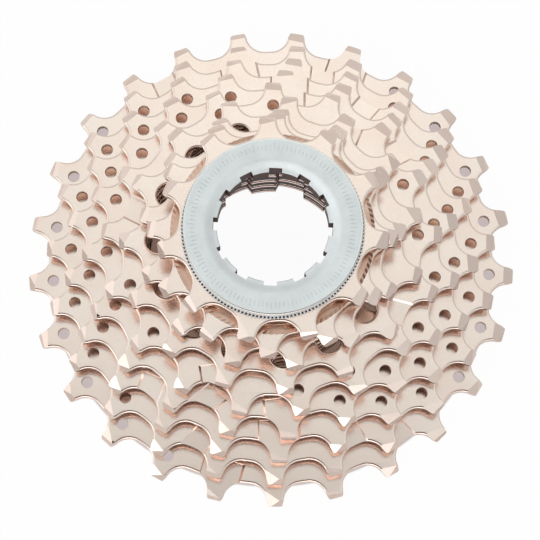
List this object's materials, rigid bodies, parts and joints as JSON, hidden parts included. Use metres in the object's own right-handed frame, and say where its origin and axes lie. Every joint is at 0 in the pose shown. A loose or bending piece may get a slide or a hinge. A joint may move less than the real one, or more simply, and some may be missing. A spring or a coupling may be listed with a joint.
{
  "type": "bicycle cassette",
  "caption": "Stepped stack of toothed bicycle sprockets on one splined bore, with spacers between them and a notched lockring on the front.",
  "frame": {"origin": "on the axis, at the back face of the largest sprocket", "axes": "+Z along the axis, out towards the smallest sprocket and the lockring; +X through one tooth of the largest sprocket"},
  "size_m": [0.1024, 0.1026, 0.0391],
  "materials": {
    "nickel_plated_steel": "nickel plated, satin",
    "filled_resin": "moulded, matte",
    "rivet_steel": "plated, formed head",
    "zinc_plated_steel": "zinc plated, fine matte"
  },
  "bodies": {
    "cluster": {"sprocket_25t": "nickel_plated_steel", "ring_25_23": "filled_resin", "sprocket_23t": "nickel_plated_steel", "ring_23_21": "filled_resin", "sprocket_21t": "nickel_plated_steel", "ring_21_19": "filled_resin", "sprocket_19t": "nickel_plated_steel", "ring_19_17": "filled_resin", "sprocket_17t": "nickel_plated_steel", "rivet_a": "rivet_steel", "rivet_b": "rivet_steel", "rivet_c": "rivet_steel"},
    "spacer_17_15": {"spacer_17_15": "filled_resin"},
    "sprocket_15t": {"sprocket_15t": "nickel_plated_steel"},
    "spacer_15_13": {"spacer_15_13": "filled_resin"},
    "sprocket_13t": {"sprocket_13t": "nickel_plated_steel"},
    "sprocket_12t": {"sprocket_12t": "nickel_plated_steel"},
    "sprocket_11t": {"sprocket_11t": "nickel_plated_steel"},
    "lock_washer": {"lock_washer": "zinc_plated_steel"},
    "lockring": {"lockring": "zinc_plated_steel"}
  },
  "joints": [
    {"name": "spacer_17_15_slide", "type": "slide", "parent": "cluster", "child": "spacer_17_15", "axis": [0, 0, 1], "range_m": [0, 0.01]},
    {"name": "sprocket_15t_slide", "type": "slide", "parent": "spacer_17_15", "child": "sprocket_15t", "axis": [0, 0, 1], "range_m": [0, 0.01]},
    {"name": "spacer_15_13_slide", "type": "slide", "parent": "sprocket_15t", "child": "spacer_15_13", "axis": [0, 0, 1], "range_m": [0, 0.01]},
    {"name": "sprocket_13t_slide", "type": "slide", "parent": "spacer_15_13", "child": "sprocket_13t", "axis": [0, 0, 1], "range_m": [0, 0.01]},
    {"name": "sprocket_12t_slide", "type": "slide", "parent": "sprocket_13t", "child": "sprocket_12t", "axis": [0, 0, 1], "range_m": [0, 0.01]},
    {"name": "sprocket_11t_slide", "type": "slide", "parent": "sprocket_12t", "child": "sprocket_11t", "axis": [0, 0, 1], "range_m": [0, 0.01]},
    {"name": "lockring_lift", "type": "slide", "parent": "sprocket_11t", "child": "lock_washer", "axis": [0, 0, 1], "range_m": [0, 0.0056]},
    {"name": "lockring_turn", "type": "hinge", "parent": "lock_washer", "child": "lockring", "pos_m": [0, 0, 0.0371], "axis": [0, 0, 1], "range_deg": [0, 1980]}
  ],
  "couplings": [
    {"joint": "lockring_lift", "follows": "lockring_turn", "m_per_rad": 0.00015915}
  ]
}
